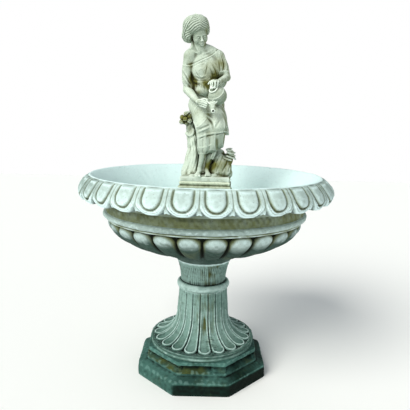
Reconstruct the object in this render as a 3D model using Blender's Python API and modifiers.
"""Cast stone garden fountain: octagonal plinth, fluted pedestal, gadrooned basin with an
egg and dart rim, and a seated water carrier on a square pedestal in the middle of the basin.

Metres, +Z up, origin on the ground at the centre of the plinth. The front looks along -Y.
"""

import math

import bmesh
import bpy
from mathutils import Matrix, Vector

# Gaps between castings that rest on each other
JOINT_GAP = 0.0003

# Pedestal: round foot, flared shaft with tongues, torus ring, reeded neck
PEDESTAL_HEIGHT = 0.354
FOOT_RADIUS = 0.220
FOOT_THICKNESS = 0.020
FOOT_ROUNDING = 0.006
SHAFT_RADIUS = 0.106
SHAFT_TOP_RADIUS = 0.099
FLARE_HEIGHT = 0.100
TONGUE_COUNT = 20
TONGUE_PHASE = math.radians(3.5)
TONGUE_RELIEF = 0.006
TONGUE_MARGIN = 0.014
TONGUE_TIP = 0.014
RING_RADIUS = 0.109
RING_THICKNESS = 0.028
NECK_LENGTH = 0.107
NECK_RADIUS = 0.095
NECK_TOP_RADIUS = 0.110

# Octagonal plinth of two tiers, the upper one as wide as the pedestal's foot
PLINTH_SIDES = 8
PLINTH_HEIGHT = 0.116
PLINTH_TIER_HEIGHT = 0.050
PLINTH_STEP = 0.038
PLINTH_WEATHERING = 0.013
PLINTH_FILLET = 0.010
PLINTH_GROOVE_DEPTH = 0.014
PLINTH_ARRIS = 0.004

# Basin: foot ring, gadrooned underside, bead, plain band and overhanging rim
BASIN_RADIUS = 0.500
BASIN_HEIGHT = 0.350
BASIN_FOOT_HEIGHT = 0.040
BASIN_FOOT_PROUD = 0.006
BASIN_FLOOR_THICKNESS = 0.070
BASIN_FLOOR_MARGIN = 0.012
BAND_INSET = 0.1045
BAND_WALL = 0.042
BEAD_HEIGHT = 0.197
BEAD_THICKNESS = 0.021
BEAD_PROUD = 0.0115
BOWL_FULLNESS = 1.8
GADROON_COUNT = 26
GADROON_PHASE = math.radians(5.9)
GADROON_RELIEF = 0.018
GADROON_GAP = 0.008
RIM_WIDTH = 0.054
RIM_DROP = 0.088
RIM_FILLET = 0.010
RIM_UNDERCUT = 0.010
RIM_COVE = 0.030
RIM_SCALLOP = 0.010
EGG_COUNT = 30
EGG_PHASE = math.radians(4.0)
EGG_RELIEF = 0.009

# Square pedestal that lifts the statue above the water, wider than the statue's slab
STATUE_PEDESTAL_HEIGHT = 0.257
STATUE_PEDESTAL_PROUD = 0.013
STATUE_PEDESTAL_TUCK = 0.005
STATUE_PEDESTAL_CAP = 0.020
STATUE_PEDESTAL_FILLET = 0.004
STATUE_PEDESTAL_BAND = 0.024
STATUE_TURN = math.radians(-8.0)
STATUE_OFFSET = 0.010

# Statue: its pose is drawn at 628 mm and follows the height
STATUE_HEIGHT = 0.628
POSE_HEIGHT = 628.0
SLAB_SIDE = 0.196
SLAB_THICKNESS = 0.017
CLAY_VOXEL = STATUE_HEIGHT / 150
STATUE_TRIANGLES = 2900

BASIN_FOOT_RADIUS = NECK_TOP_RADIUS + BASIN_FOOT_PROUD
BAND_RADIUS = BASIN_RADIUS - BAND_INSET
RIM_INNER_RADIUS = BASIN_RADIUS - RIM_WIDTH
STATUE_PEDESTAL_HALF = SLAB_SIDE / 2 + STATUE_PEDESTAL_PROUD

PEDESTAL_Z = PLINTH_HEIGHT + JOINT_GAP
BASIN_Z = PEDESTAL_Z + PEDESTAL_HEIGHT + JOINT_GAP
STATUE_PEDESTAL_Z = BASIN_Z + BASIN_FLOOR_THICKNESS + JOINT_GAP
STATUE_Z = STATUE_PEDESTAL_Z + STATUE_PEDESTAL_HEIGHT + JOINT_GAP

MERGE = 0.00002
CRISP_ANGLE = math.radians(30)


def clear_scene():
    for obj in list(bpy.data.objects):
        bpy.data.objects.remove(obj, do_unlink=True)


def new_collection(name):
    collection = bpy.data.collections.new(name)
    bpy.context.scene.collection.children.link(collection)
    return collection


def stone(name, colour, roughness):
    material = bpy.data.materials.new(name)
    material.use_nodes = True
    shader = material.node_tree.nodes["Principled BSDF"]
    shader.inputs["Base Color"].default_value = (*colour, 1.0)
    shader.inputs["Roughness"].default_value = roughness
    shader.inputs["Metallic"].default_value = 0.0
    return material


def object_from_bmesh(name, bm, collection):
    mesh = bpy.data.meshes.new(name)
    bm.to_mesh(mesh)
    bm.free()
    obj = bpy.data.objects.new(name, mesh)
    collection.objects.link(obj)
    return obj


def evaluated_mesh(obj):
    """The object's mesh with its modifiers applied."""
    graph = bpy.context.evaluated_depsgraph_get()
    return bpy.data.meshes.new_from_object(obj.evaluated_get(graph))


def turned(name, profile, steps, collection, closed=False, first_angle=0.0):
    """A profile of (radius, height) pairs turned about the Z axis. Each vertex keeps its
    place along the profile in the attribute 'station'."""
    bm = bmesh.new()
    station = bm.verts.layers.float.new("station")
    start = Matrix.Rotation(first_angle, 3, "Z")
    verts = []
    for number, (radius, height) in enumerate(profile):
        vert = bm.verts.new(start @ Vector((radius, 0.0, height)))
        vert[station] = number
        verts.append(vert)
    for lower, upper in zip(verts, verts[1:]):
        bm.edges.new((lower, upper))
    if closed:
        bm.edges.new((verts[-1], verts[0]))
    obj = object_from_bmesh(name, bm, collection)
    screw = obj.modifiers.new("Turn", "SCREW")
    screw.steps = steps
    screw.render_steps = steps
    screw.use_merge_vertices = True
    screw.merge_threshold = MERGE
    screw.use_smooth_shade = steps > PLINTH_SIDES
    return obj


def crisp(mesh):
    """Smooth shading that stops at arrises and grooves."""
    mesh.shade_smooth()
    mesh.set_sharp_from_angle(angle=CRISP_ANGLE)


def carved(obj, relief):
    """Replaces the turned blank by its mesh, with each vertex moved as relief says:
    relief(angle, station) gives (outward, upward, turn) in metres and radians."""
    mesh = evaluated_mesh(obj)
    stations = mesh.attributes["station"].data
    for vert, station in zip(mesh.vertices, stations):
        radius = math.hypot(vert.co.x, vert.co.y)
        if radius < MERGE:
            continue
        angle = math.atan2(vert.co.y, vert.co.x)
        outward, upward, turn = relief(angle, round(station.value))
        radius += outward
        vert.co.x = radius * math.cos(angle + turn)
        vert.co.y = radius * math.sin(angle + turn)
        vert.co.z += upward
    mesh.attributes.remove(mesh.attributes["station"])
    crisp(mesh)
    obj.modifiers.clear()
    obj.data = mesh
    return obj


def keep_as_cutter(obj):
    obj.display_type = "WIRE"
    obj.hide_render = True


def boolean(obj, operand, operation):
    keep_as_cutter(operand)
    modifier = obj.modifiers.new(operation.title(), "BOOLEAN")
    modifier.operation = operation
    modifier.object = operand
    modifier.solver = "EXACT"


def share_of_lobe(angle, count, phase):
    """Where an angle falls within its lobe: 0 on the middle of the lobe, -1 and 1 on the
    grooves each side of it."""
    lobe = (angle - phase) * count / math.tau
    return 2.0 * (lobe - round(lobe))


def front(phase):
    """The world angle of something phase radians to the right of the front."""
    return phase - math.pi / 2


# Octagonal plinth


def plinth_profile():
    """Apothem and height, from the middle of the top down the outside to the ground."""
    top = FOOT_RADIUS
    tier = top + PLINTH_STEP
    slope_top = PLINTH_TIER_HEIGHT + PLINTH_WEATHERING
    groove_low = slope_top + PLINTH_FILLET
    groove_high = PLINTH_HEIGHT - PLINTH_ARRIS - PLINTH_FILLET
    groove_middle = (groove_low + groove_high) / 2
    return [
        (0.0, PLINTH_HEIGHT),
        (top - PLINTH_ARRIS, PLINTH_HEIGHT),
        (top, PLINTH_HEIGHT - PLINTH_ARRIS),
        (top, groove_high),
        (top - PLINTH_GROOVE_DEPTH, groove_middle + PLINTH_ARRIS),
        (top - PLINTH_GROOVE_DEPTH, groove_middle - PLINTH_ARRIS),
        (top + PLINTH_ARRIS, groove_low),
        (top + PLINTH_ARRIS, slope_top),
        (tier - PLINTH_ARRIS, PLINTH_TIER_HEIGHT + PLINTH_ARRIS / 2),
        (tier, PLINTH_TIER_HEIGHT - PLINTH_ARRIS),
        (tier, 0.0),
        (0.0, 0.0),
    ]


def make_plinth(parts):
    """An eight-sided turning: corners lie further out than the faces."""
    corner = 1.0 / math.cos(math.pi / PLINTH_SIDES)
    profile = [(apothem * corner, height) for apothem, height in plinth_profile()]
    half_side = math.pi / PLINTH_SIDES
    return turned(
        "octagonal_plinth", profile, PLINTH_SIDES, parts, first_angle=half_side
    )


# Pedestal

# Marks the rows at the rounded tips of the tongues
TIP = 2.0


def flare(height):
    """Radius of the trumpet between the shaft and the foot, height above the foot's top."""
    rise = min(height / FLARE_HEIGHT, 1.0)
    spread = FOOT_RADIUS - TONGUE_MARGIN - TONGUE_RELIEF - SHAFT_RADIUS
    return SHAFT_RADIUS + spread * (1.0 - math.sqrt(1.0 - (1.0 - rise) ** 2))


def pedestal_profile():
    """Radius, height and depth of the tongue grooves, from the top down the outside."""
    ring = PEDESTAL_HEIGHT - NECK_LENGTH
    ring_low, ring_high = ring - RING_THICKNESS / 2, ring + RING_THICKNESS / 2
    neck_waist = (ring_high + PEDESTAL_HEIGHT) / 2
    waist_radius = NECK_RADIUS + (NECK_TOP_RADIUS - NECK_RADIUS) / 6
    foot_top = FOOT_THICKNESS
    tip = FOOT_RADIUS - TONGUE_MARGIN
    rows = [
        (0.0, PEDESTAL_HEIGHT, 0.0),
        (NECK_TOP_RADIUS, PEDESTAL_HEIGHT, 0.0),
        (waist_radius, neck_waist, 0.0),
        (NECK_RADIUS, ring_high, 0.0),
        (RING_RADIUS, ring + RING_THICKNESS / 4, 0.0),
        (RING_RADIUS, ring - RING_THICKNESS / 4, 0.0),
        (SHAFT_TOP_RADIUS, ring_low, 0.0),
    ]
    for share in (1.0, 0.5, 0.2):
        rise = share * FLARE_HEIGHT
        rows.append((flare(rise), foot_top + TONGUE_RELIEF + rise, 1.0))
    rows += [
        (tip - TONGUE_RELIEF, foot_top + TONGUE_RELIEF, TIP),
        (tip, foot_top, TIP),
        (FOOT_RADIUS - FOOT_ROUNDING, foot_top, 0.0),
        (FOOT_RADIUS, foot_top / 2, 0.0),
        (FOOT_RADIUS - FOOT_ROUNDING, 0.0, 0.0),
        (0.0, 0.0, 0.0),
    ]
    return rows


def make_pedestal(parts):
    rows = pedestal_profile()
    profile = [(radius, height) for radius, height, _ in rows]
    steps_per_tongue = 3
    phase = front(TONGUE_PHASE)
    first = phase + math.pi / TONGUE_COUNT
    obj = turned(
        "pedestal",
        profile,
        TONGUE_COUNT * steps_per_tongue,
        parts,
        first_angle=first,
    )
    half_tongue = math.pi / TONGUE_COUNT

    def tongue(angle, station):
        share = share_of_lobe(angle, TONGUE_COUNT, phase)
        radius, _, depth = rows[station]
        if depth == 0.0:
            return 0.0, 0.0, 0.0
        if abs(share) > 0.9:
            pulled_in = TONGUE_TIP if depth == TIP else 0.0
            return -TONGUE_RELIEF * math.sqrt(radius / SHAFT_RADIUS) - pulled_in, 0.0, 0.0
        widened = math.copysign(0.55 if depth == TIP else 0.72, share) - share
        return 0.0, 0.0, widened * half_tongue

    carved(obj, tongue)
    obj.location.z = PEDESTAL_Z
    return obj


# Basin


def bowl_radius(share):
    """Outer radius of the gadrooned part, share 0 under the bead and 1 at the foot ring."""
    spread = math.cos(share * math.pi / 2) ** (2.0 / BOWL_FULLNESS)
    return BASIN_FOOT_RADIUS + (BAND_RADIUS - BASIN_FOOT_RADIUS) * spread


def bowl_height(share):
    top = BEAD_HEIGHT - BEAD_THICKNESS / 2 - GADROON_GAP
    fall = math.sin(share * math.pi / 2) ** (2.0 / BOWL_FULLNESS)
    return top - (top - BASIN_FOOT_HEIGHT) * fall


# Share of the way down the bowl, and how deep the grooves are there
GADROON_ROWS = ((0.02, 0.0), (0.11, 0.75), (0.33, 1.0), (0.66, 0.8))


def bowl_profile():
    """Radius, height and gadroon depth, from the middle of the band's top down."""
    bead_low = BEAD_HEIGHT - BEAD_THICKNESS / 2
    bead_high = BEAD_HEIGHT + BEAD_THICKNESS / 2
    band_top = BASIN_HEIGHT - RIM_DROP
    rows = [
        (0.0, band_top, 0.0),
        (BAND_RADIUS, band_top, 0.0),
        (BAND_RADIUS, bead_high, 0.0),
        (BAND_RADIUS + BEAD_PROUD, bead_high - BEAD_PROUD / 2, 0.0),
        (BAND_RADIUS + BEAD_PROUD, bead_low + BEAD_PROUD / 2, 0.0),
        (BAND_RADIUS - BEAD_PROUD / 3, bead_low, 0.0),
    ]
    for share, depth in GADROON_ROWS:
        rows.append((bowl_radius(share), bowl_height(share), depth))
    rows += [
        (NECK_TOP_RADIUS, BASIN_FOOT_HEIGHT, 0.0),
        (BASIN_FOOT_RADIUS, BASIN_FOOT_HEIGHT / 2, 0.0),
        (BASIN_FOOT_RADIUS, 0.0, 0.0),
        (0.0, 0.0, 0.0),
    ]
    return rows


def make_bowl(parts):
    rows = bowl_profile()
    profile = [(radius, height) for radius, height, _ in rows]
    steps_per_gadroon = 3
    phase = front(GADROON_PHASE)
    obj = turned(
        "basin",
        profile,
        GADROON_COUNT * steps_per_gadroon,
        parts,
        first_angle=phase + math.pi / GADROON_COUNT,
    )

    def gadroon(angle, station):
        share = share_of_lobe(angle, GADROON_COUNT, phase)
        radius, _, depth = rows[station]
        in_groove = abs(share) > 0.9
        fall = depth if in_groove else 0.0
        size = radius / BAND_RADIUS
        crest = math.copysign(0.55, share) - share
        turn = 0.0 if in_groove else crest * math.pi / GADROON_COUNT
        sunk = GADROON_RELIEF * fall
        return -sunk * size, sunk * (1.0 - size), turn

    return carved(obj, gadroon)


# Rows of the egg and dart face: share of the drop, and the relief on the dart, on the
# frame, in the groove beside the egg and on the egg's middle
EGG_ROWS = (
    (0.06, (0.0, 0.3, -0.3, 0.5)),
    (0.56, (-0.7, 0.9, -0.4, 1.0)),
    (0.76, (-0.8, 1.0, 0.7, -0.4)),
    (0.98, (-0.5, 0.2, 0.8, 1.0)),
)
# Share of the rim's drop at which its face is widest
RIM_WIDEST = 0.75


def ovolo(share):
    """Radius and height of the rim's rounded face, share 0 at the top and 1 at the lip."""
    top = RIM_INNER_RADIUS + RIM_FILLET
    swell = 1.0 - (1.0 - min(share / RIM_WIDEST, 1.0)) ** 1.35
    radius = top + (BASIN_RADIUS - EGG_RELIEF - top) * swell
    radius -= RIM_UNDERCUT * max(0.0, share - RIM_WIDEST) / (1.0 - RIM_WIDEST)
    return radius, BASIN_HEIGHT - RIM_DROP * share


def rim_profile():
    """A closed ring: the rim's top, its carved face, the soffit, and its buried back."""
    buried = BAND_RADIUS - BAND_WALL - RIM_FILLET
    rows = [
        (buried, BASIN_HEIGHT, None),
        (RIM_INNER_RADIUS + RIM_FILLET, BASIN_HEIGHT, None),
    ]
    for share, relief in EGG_ROWS:
        rows.append((*ovolo(share), relief))
    rows.append((buried, BASIN_HEIGHT - RIM_DROP - RIM_COVE, None))
    return rows


def make_rim(tools):
    rows = rim_profile()
    profile = [(radius, height) for radius, height, _ in rows]
    steps_per_egg = 6
    phase = front(EGG_PHASE)
    obj = turned(
        "rim_ring",
        profile,
        EGG_COUNT * steps_per_egg,
        tools,
        closed=True,
        first_angle=phase,
    )
    half_egg = math.pi / EGG_COUNT
    places = ((3, 1.0, 0), (2, 0.80, 1), (1, 0.56, 2), (0, 0.0, 3))

    def egg(angle, station):
        relief = rows[station][2]
        if relief is None:
            return 0.0, 0.0, 0.0
        share = share_of_lobe(angle, EGG_COUNT, phase)
        third = round(abs(share) * 3)
        _, place, number = next(entry for entry in places if entry[0] == third)
        turn = (math.copysign(place, share) - share) * half_egg
        lift = relief[number]
        lowest = station == len(EGG_ROWS) + 1
        drop = -RIM_SCALLOP * (1.0 - place**2) if lowest else 0.0
        return EGG_RELIEF * lift, drop, turn

    return carved(obj, egg)


def make_cavity(tools):
    """The inside of the basin: a flat floor that sweeps up to the band and flares out to
    the rim's inner edge."""
    inner_band = BAND_RADIUS - BAND_WALL
    band_z = BASIN_HEIGHT - RIM_DROP - RIM_COVE
    flat = math.sqrt(2.0) * STATUE_PEDESTAL_HALF + STATUE_OFFSET + BASIN_FLOOR_MARGIN
    above = BASIN_HEIGHT + RIM_DROP
    profile = [(0.0, above), (RIM_INNER_RADIUS, above)]
    for share in (0.0, 0.35, 0.7):
        flared = (RIM_INNER_RADIUS - inner_band) * (1.0 - share) ** 1.5
        profile.append((inner_band + flared, BASIN_HEIGHT + (band_z - BASIN_HEIGHT) * share))
    sweep = 4
    for step in range(sweep + 1):
        turn = step / sweep * math.pi / 2
        radius = flat + (inner_band - flat) * math.cos(turn)
        height = band_z - (band_z - BASIN_FLOOR_THICKNESS) * math.sin(turn)
        profile.append((radius, height))
    profile.append((0.0, BASIN_FLOOR_THICKNESS))
    return turned("cavity", profile, 48, tools)


def make_basin(parts, tools):
    basin = make_bowl(parts)
    rim = make_rim(tools)
    cavity = make_cavity(tools)
    for obj in (basin, rim, cavity):
        obj.location.z = BASIN_Z
    boolean(basin, rim, "UNION")
    boolean(basin, cavity, "DIFFERENCE")
    return basin


# Square pedestal of the statue


def make_statue_pedestal(parts):
    """A four-sided turning: a block, its moulded band and a tucked neck under the slab."""
    half, top = STATUE_PEDESTAL_HALF, STATUE_PEDESTAL_HEIGHT
    neck = SLAB_SIDE / 2 - STATUE_PEDESTAL_TUCK
    fillet = STATUE_PEDESTAL_FILLET
    band_top = top - STATUE_PEDESTAL_CAP - fillet
    band_low = band_top - STATUE_PEDESTAL_BAND
    faces = [
        (0.0, top),
        (neck + fillet, top),
        (neck, top - STATUE_PEDESTAL_CAP / 2),
        (neck + fillet, top - STATUE_PEDESTAL_CAP),
        (half, band_top),
        (half, band_low),
        (half - 2 * fillet, band_low - 2 * fillet),
        (half - 2 * fillet, 0.0),
        (0.0, 0.0),
    ]
    corner = math.sqrt(2.0)
    profile = [(apothem * corner, height) for apothem, height in faces]
    obj = turned("statue_pedestal", profile, 4, parts, first_angle=math.pi / 4)
    obj.location = (STATUE_OFFSET, 0.0, STATUE_PEDESTAL_Z)
    obj.rotation_euler.z = STATUE_TURN
    return obj


# Statue: lumps of clay in the pose's own millimetres, x right, y back, z up


def lump(bm, centre, radii, axes=None):
    """An ellipsoid with its own axes."""
    frame = (axes or Matrix.Identity(3)).to_4x4()
    size = Matrix.Diagonal((*radii, 1.0))
    place = Matrix.Translation(Vector(centre)) @ frame @ size
    bmesh.ops.create_uvsphere(bm, u_segments=16, v_segments=10, radius=1.0, matrix=place)


def limb(bm, start, end, start_radius, end_radius):
    """A tapered round limb with ball ends."""
    start, end = Vector(start), Vector(end)
    along = end - start
    turn = along.to_track_quat("Z", "Y").to_matrix().to_4x4()
    middle = Matrix.Translation((start + end) / 2) @ turn
    bmesh.ops.create_cone(
        bm,
        cap_ends=True,
        segments=16,
        radius1=start_radius,
        radius2=end_radius,
        depth=along.length,
        matrix=middle,
    )
    for centre, radius in ((start, start_radius), (end, end_radius)):
        lump(bm, centre, (radius, radius, radius))


def chain(bm, links):
    """Limbs from each (point, radius) to the next."""
    for (start, first), (end, second) in zip(links, links[1:]):
        limb(bm, start, end, first, second)


def axes_facing(forward, up):
    """Columns right, back and up for a head or a pot that faces forward."""
    back = -Vector(forward).normalized()
    right = back.cross(Vector(up)).normalized()
    return Matrix((right, back, right.cross(back).normalized())).transposed()


HEAD = (-56, -8, 576)
HEAD_FORWARD = (0.38, -0.88, -0.22)
HEAD_UP = (-0.18, -0.28, 0.94)
NECK_TOP, NECK_BASE = (-49, -2, 516), (-42, 14, 478)
SHOULDER_R, ELBOW_R, WRIST_R, HAND_R = (-80, 13, 462), (-91, 18, 350), (-44, -64, 307), (-22, -84, 296)
SHOULDER_L, ELBOW_L, WRIST_L, HAND_L = (32, 16, 470), (70, 4, 397), (36, -50, 377), (17, -66, 366)
HIP_R, KNEE_R, ANKLE_R, TOE_R = (-38, 38, 298), (-20, -60, 206), (-31, -54, 46), (-37, -86, 24)
HIP_L, KNEE_L, ANKLE_L, TOE_L = (32, 38, 296), (33, -58, 208), (-3, -42, 46), (5, -78, 26)
JUG, JUG_MOUTH = (38, -42, 318), (17, -58, 357)
CUP, CUP_FOOT = (12, -92, 291), (15, -103, 262)


def head_and_neck(bm):
    """Wavy hair gathered into a knot behind, a bowed face, and a lock beside the neck."""
    axes = axes_facing(HEAD_FORWARD, HEAD_UP)
    head = Vector(HEAD)
    lump(bm, head, (50, 52, 50), axes)
    lump(bm, head + axes @ Vector((3, -14, -30)), (32, 35, 42), axes)
    lump(bm, head + axes @ Vector((-24, 22, -26)), (32, 32, 32), axes)
    wave = [(-42, 2, -24), (-37, -28, 2), (-6, -41, 20), (28, -33, 10), (38, -4, -20)]
    chain(bm, [(head + axes @ Vector(point), 14) for point in wave])
    chain(bm, (((-90, 6, 535), 11), ((-82, 0, 503), 6)))
    chain(bm, ((NECK_TOP, 20), (NECK_BASE, 25)))


def torso(bm):
    """Chest in a low blouse, high sash and rounded belly."""
    limb(bm, NECK_BASE, SHOULDER_R, 22, 23)
    limb(bm, NECK_BASE, SHOULDER_L, 22, 23)
    lump(bm, (-22, 14, 430), (60, 40, 56))
    lump(bm, (-38, -12, 415), (27, 27, 29))
    lump(bm, (13, -10, 424), (28, 27, 29))
    lump(bm, (-18, 16, 382), (54, 37, 44))
    lump(bm, (-19, 4, 346), (44, 35, 30))
    lump(bm, (-6, 34, 312), (66, 50, 46))
    lump(bm, (46, 14, 392), (26, 20, 28))
    neckline = ((36, -8, 490), (-21, -21, 458), (-68, -12, 440), (-104, -6, 436))
    chain(bm, [(point, 4.5) for point in neckline])
    sash = ((-62, 4, 384), (-40, -17, 377), (-8, -19, 376), (24, -2, 384))
    chain(bm, [(point, 6) for point in sash])
    chain(bm, (((-8, -22, 378), 8), ((2, -30, 360), 6)))


def arms_and_vessels(bm):
    """Right hand with a small cup, left hand on the mouth of a tilted jug."""
    chain(bm, ((SHOULDER_R, 23), ((-90, 12, 425), 25), ((-90, 16, 388), 24)))
    chain(bm, (((-90, 16, 388), 19), (ELBOW_R, 18), (WRIST_R, 12), (HAND_R, 13)))
    chain(bm, ((SHOULDER_L, 24), ((52, 12, 438), 27), ((64, 8, 410), 24)))
    chain(bm, ((ELBOW_L, 19), (WRIST_L, 12), (HAND_L, 14), ((6, -72, 350), 8)))
    axes = axes_facing((0, -1, 0.2), Vector(JUG_MOUTH) - Vector(JUG))
    lump(bm, JUG, (34, 34, 36), axes)
    limb(bm, JUG, JUG_MOUTH, 22, 19)
    limb(bm, CUP, CUP_FOOT, 15, 9)
    limb(bm, HAND_R, CUP, 9, 8)


def lap_and_skirt(bm):
    """Overskirt across the thighs with its hem in a roll, and a second tier below it."""
    limb(bm, HIP_R, KNEE_R, 48, 34)
    limb(bm, HIP_L, KNEE_L, 46, 34)
    limb(bm, (0, 30, 280), (6, -56, 200), 44, 30)
    limb(bm, KNEE_R, (-17, -54, 128), 32, 29)
    limb(bm, KNEE_L, (33, -42, 146), 33, 31)
    limb(bm, (7, -50, 196), (8, -44, 136), 34, 32)
    hem = ((-52, -48, 158), (-28, -84, 168), (11, -92, 182), (48, -80, 190), (72, -50, 180))
    chain(bm, [(point, 6) for point in hem])
    lower_hem = ((-46, -60, 104), (-16, -82, 106), (12, -76, 112), (40, -72, 120), (62, -46, 124))
    chain(bm, [(point, 6) for point in lower_hem])
    chain(bm, (((66, 0, 270), 18), ((74, -28, 215), 14), ((77, -38, 178), 8)))
    folds = (
        ((-62, -8, 290), (-34, -84, 196)),
        ((-34, -46, 300), (4, -86, 214)),
        ((60, -30, 276), (56, -82, 204)),
        ((28, -66, 268), (10, -88, 208)),
    )
    for start, end in folds:
        limb(bm, start, end, 7, 6)


def legs(bm):
    chain(bm, (((-23, -58, 122), 20), ((-26, -56, 92), 18), (ANKLE_R, 12), (TOE_R, 10)))
    chain(bm, (((8, -48, 122), 20), ((4, -46, 92), 18), (ANKLE_L, 12), (TOE_L, 10)))
    lump(bm, TOE_R, (16, 24, 10))
    lump(bm, TOE_L, (16, 24, 10))


def stump_and_rocks(bm):
    """Stump under the seat, gnarled trunk with flowers, rock with a sheaf, rough ground."""
    chain(bm, (((2, 42, 20), 54), ((0, 46, 150), 48), ((-4, 44, 268), 44)))
    limb(bm, (-6, 58, 262), (-8, 58, 130), 38, 32)
    chain(bm, (((-78, 2, 26), 27), ((-68, 16, 125), 20), ((-74, 28, 214), 20)))
    limb(bm, (-68, 20, 140), (-30, 40, 120), 20, 30)
    lump(bm, (-95, 20, 238), (26, 24, 23))
    lump(bm, (-78, 2, 246), (18, 16, 14))
    lump(bm, (-60, 18, 228), (16, 16, 16))
    chain(bm, (((-84, -4, 222), 8), ((-96, 0, 190), 9), ((-80, -6, 160), 7)))
    lump(bm, (56, 0, 44), (40, 50, 50))
    lump(bm, (34, -34, 46), (26, 26, 34))
    for start, end in (((52, -20, 84), (84, -4, 108)), ((60, -24, 76), (104, 0, 99))):
        limb(bm, start, end, 15, 9)
    lump(bm, (86, 12, 84), (20, 20, 26))
    lump(bm, (-2, 0, 14), (90, 90, 18))


def box(name, side, low, high, collection):
    bm = bmesh.new()
    size = Matrix.Diagonal((side, side, high - low, 1.0))
    middle = Matrix.Translation((0.0, 0.0, (low + high) / 2))
    bmesh.ops.create_cube(bm, size=1.0, matrix=middle @ size)
    return object_from_bmesh(name, bm, collection)


def make_statue(parts, tools):
    bm = bmesh.new()
    for sculpt in (
        head_and_neck,
        torso,
        arms_and_vessels,
        lap_and_skirt,
        legs,
        stump_and_rocks,
    ):
        sculpt(bm)
    scale = Matrix.Scale(STATUE_HEIGHT / POSE_HEIGHT, 4)
    bmesh.ops.transform(bm, matrix=scale, verts=bm.verts)
    obj = object_from_bmesh("statue", bm, parts)
    clay = obj.modifiers.new("Clay", "REMESH")
    clay.mode = "VOXEL"
    clay.voxel_size = CLAY_VOXEL
    soften = obj.modifiers.new("Soften", "SMOOTH")
    soften.factor = 0.5
    soften.iterations = 3
    thin = obj.modifiers.new("Thin", "DECIMATE")
    thin.use_collapse_triangulate = True
    faces = sum(len(p.vertices) - 2 for p in evaluated_mesh(obj).polygons)
    thin.ratio = STATUE_TRIANGLES / faces
    slab = box("slab", SLAB_SIDE, -SLAB_THICKNESS, SLAB_THICKNESS, tools)
    ground = box("below_slab", 2 * STATUE_HEIGHT, -STATUE_HEIGHT, 0.0, tools)
    boolean(obj, slab, "UNION")
    boolean(obj, ground, "DIFFERENCE")
    for piece in (obj, slab, ground):
        piece.location.x += STATUE_OFFSET
        piece.location.z += STATUE_Z
    slab.rotation_euler.z = STATUE_TURN
    return obj


def finish(obj, material):
    obj.data.materials.clear()
    obj.data.materials.append(material)


def main():
    clear_scene()
    parts = new_collection("garden_fountain")
    tools = new_collection("cutters")
    pale = stone("cast_stone_pale", (0.62, 0.66, 0.58), 0.85)
    weathered = stone("cast_stone_weathered", (0.36, 0.45, 0.40), 0.9)
    warm = stone("cast_stone_warm", (0.66, 0.68, 0.52), 0.85)
    finish(make_plinth(parts), weathered)
    finish(make_pedestal(parts), weathered)
    finish(make_basin(parts, tools), pale)
    finish(make_statue_pedestal(parts), warm)
    finish(make_statue(parts, tools), warm)


main()
